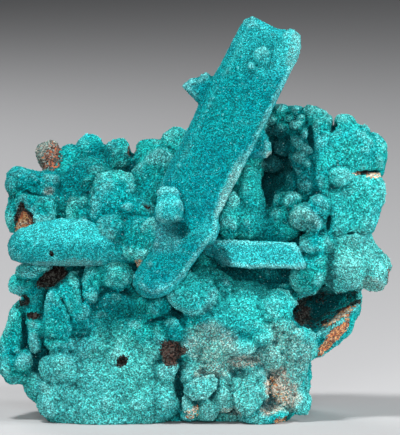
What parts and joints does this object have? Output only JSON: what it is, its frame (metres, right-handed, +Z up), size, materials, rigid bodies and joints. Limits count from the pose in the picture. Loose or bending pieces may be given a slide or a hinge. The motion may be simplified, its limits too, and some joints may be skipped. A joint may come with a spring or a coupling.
{
  "type": "rosasite with azurite mineral specimen",
  "caption": "Freestanding mineral specimen: blocky turquoise rosasite crust on iron-stained rock, crossed by long coated azurite blades, one leaning upright and two lying level.",
  "frame": {"origin": "on the flat foot that the specimen rests on, at z = 0 and beneath the middle of its width", "axes": "+Z is up, the display side faces -Y, +X is to the right as the display side is seen"},
  "size_m": [0.0781, 0.041, 0.0811],
  "materials": {
    "rosasite_crust": "matt druse of tiny turquoise grains, with bare rust-brown gossan patches",
    "coated_azurite": "matt druse of tiny turquoise grains with paler edges"
  },
  "bodies": {
    "root": {"matrix": "rosasite_crust", "long_crystal": "coated_azurite", "left_crystal": "coated_azurite", "right_crystal": "coated_azurite"}
  },
  "joints": []
}
